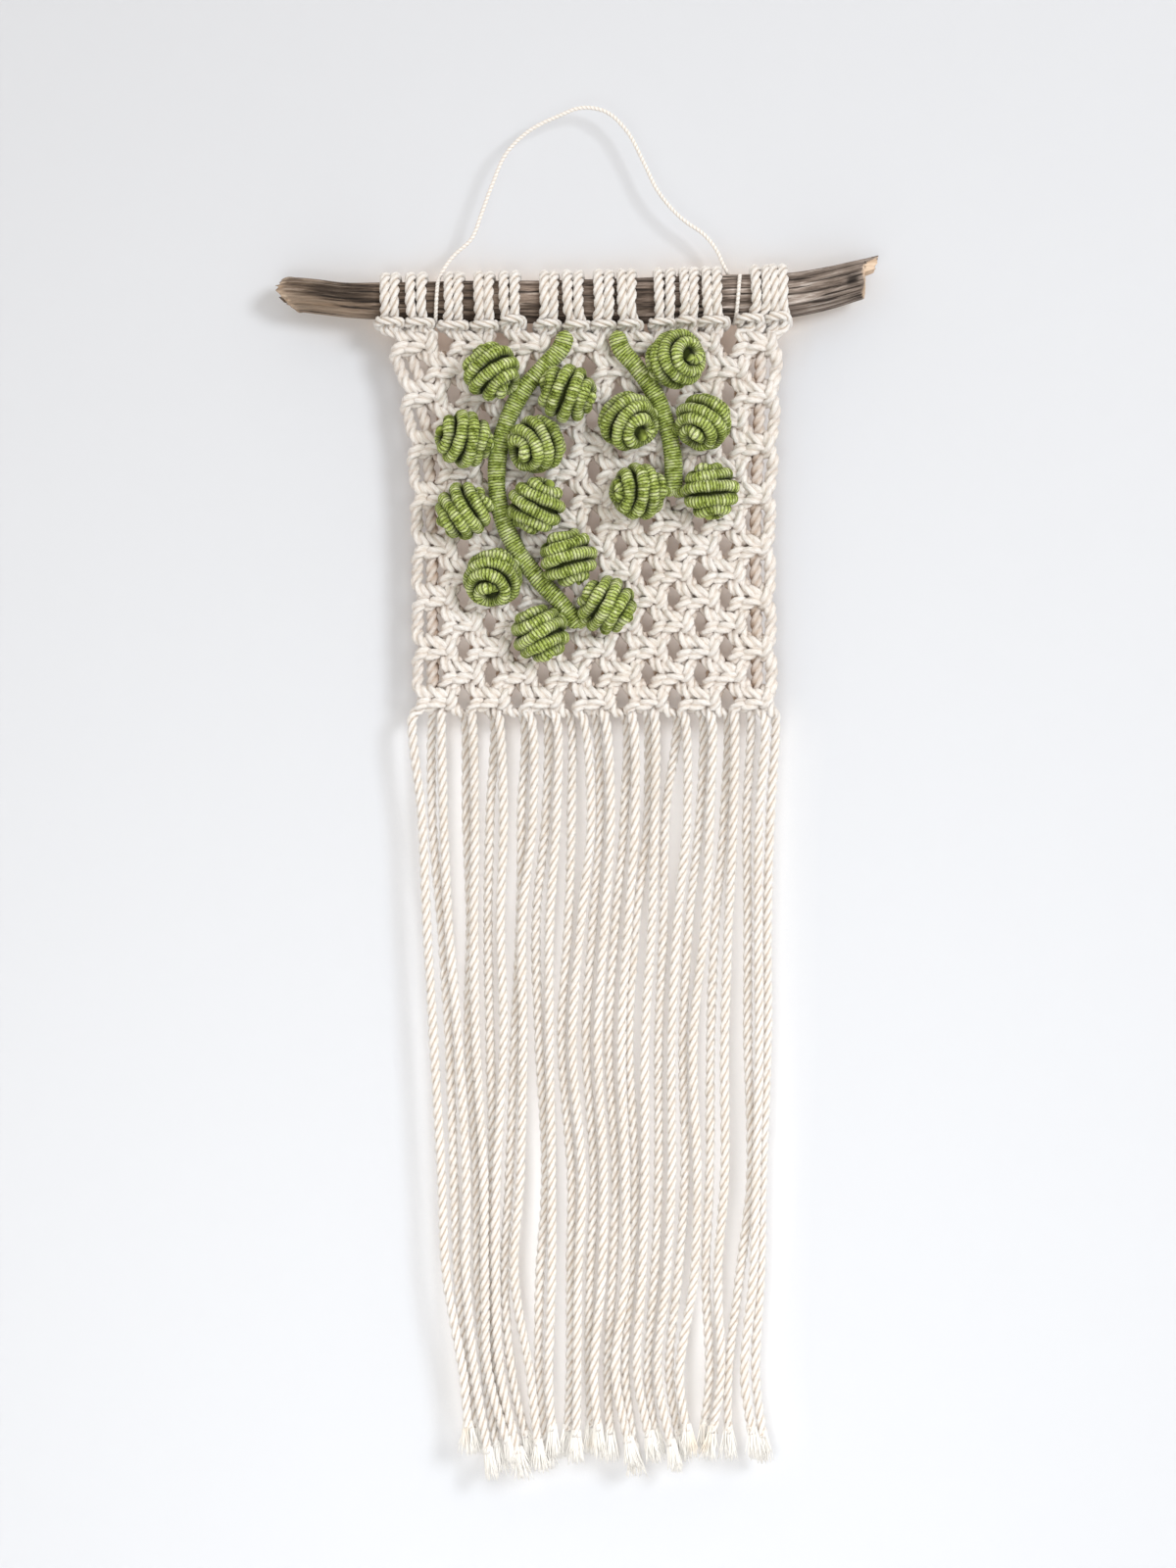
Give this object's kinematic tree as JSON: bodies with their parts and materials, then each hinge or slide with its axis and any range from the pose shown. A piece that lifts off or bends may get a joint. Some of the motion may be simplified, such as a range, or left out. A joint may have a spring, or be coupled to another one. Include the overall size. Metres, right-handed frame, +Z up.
{
  "type": "macrame wall hanging on a driftwood rod",
  "caption": "Knotted cotton cord wall hanging on a driftwood rod, with a long loose fringe, trailing sprigs of coiled green berries and a thin hanging loop.",
  "frame": {"origin": "inside of the hanging loop at its top, where one nail bears", "axes": "+Z up, -Y out of the front, +X to the right seen from the front"},
  "size_m": [0.2441, 0.0419, 0.5573],
  "materials": {
    "driftwood": "weathered grey-brown, unsealed",
    "cotton_cord": "cream three-ply cotton cord",
    "green_cord": "cord wrapped in leaf-green yarn",
    "twine": "thin beige twisted string"
  },
  "bodies": {
    "root": {"driftwood_rod": "driftwood", "larks_head_01": "cotton_cord", "larks_head_02": "cotton_cord", "larks_head_03": "cotton_cord", "larks_head_04": "cotton_cord", "larks_head_05": "cotton_cord", "larks_head_06": "cotton_cord", "larks_head_07": "cotton_cord", "larks_head_08": "cotton_cord", "larks_head_09": "cotton_cord", "larks_head_10": "cotton_cord", "larks_head_11": "cotton_cord", "larks_head_12": "cotton_cord", "larks_head_13": "cotton_cord", "larks_head_14": "cotton_cord", "knotted_net": "cotton_cord", "fringe": "cotton_cord", "hanging_string": "twine", "sprig_stem_left": "green_cord", "sprig_stem_right": "green_cord", "berry_01": "green_cord", "berry_02": "green_cord", "berry_03": "green_cord", "berry_04": "green_cord", "berry_05": "green_cord", "berry_06": "green_cord", "berry_07": "green_cord", "berry_08": "green_cord", "berry_09": "green_cord", "berry_10": "green_cord", "berry_11": "green_cord", "berry_12": "green_cord", "berry_13": "green_cord", "berry_14": "green_cord", "berry_15": "green_cord"}
  },
  "joints": []
}
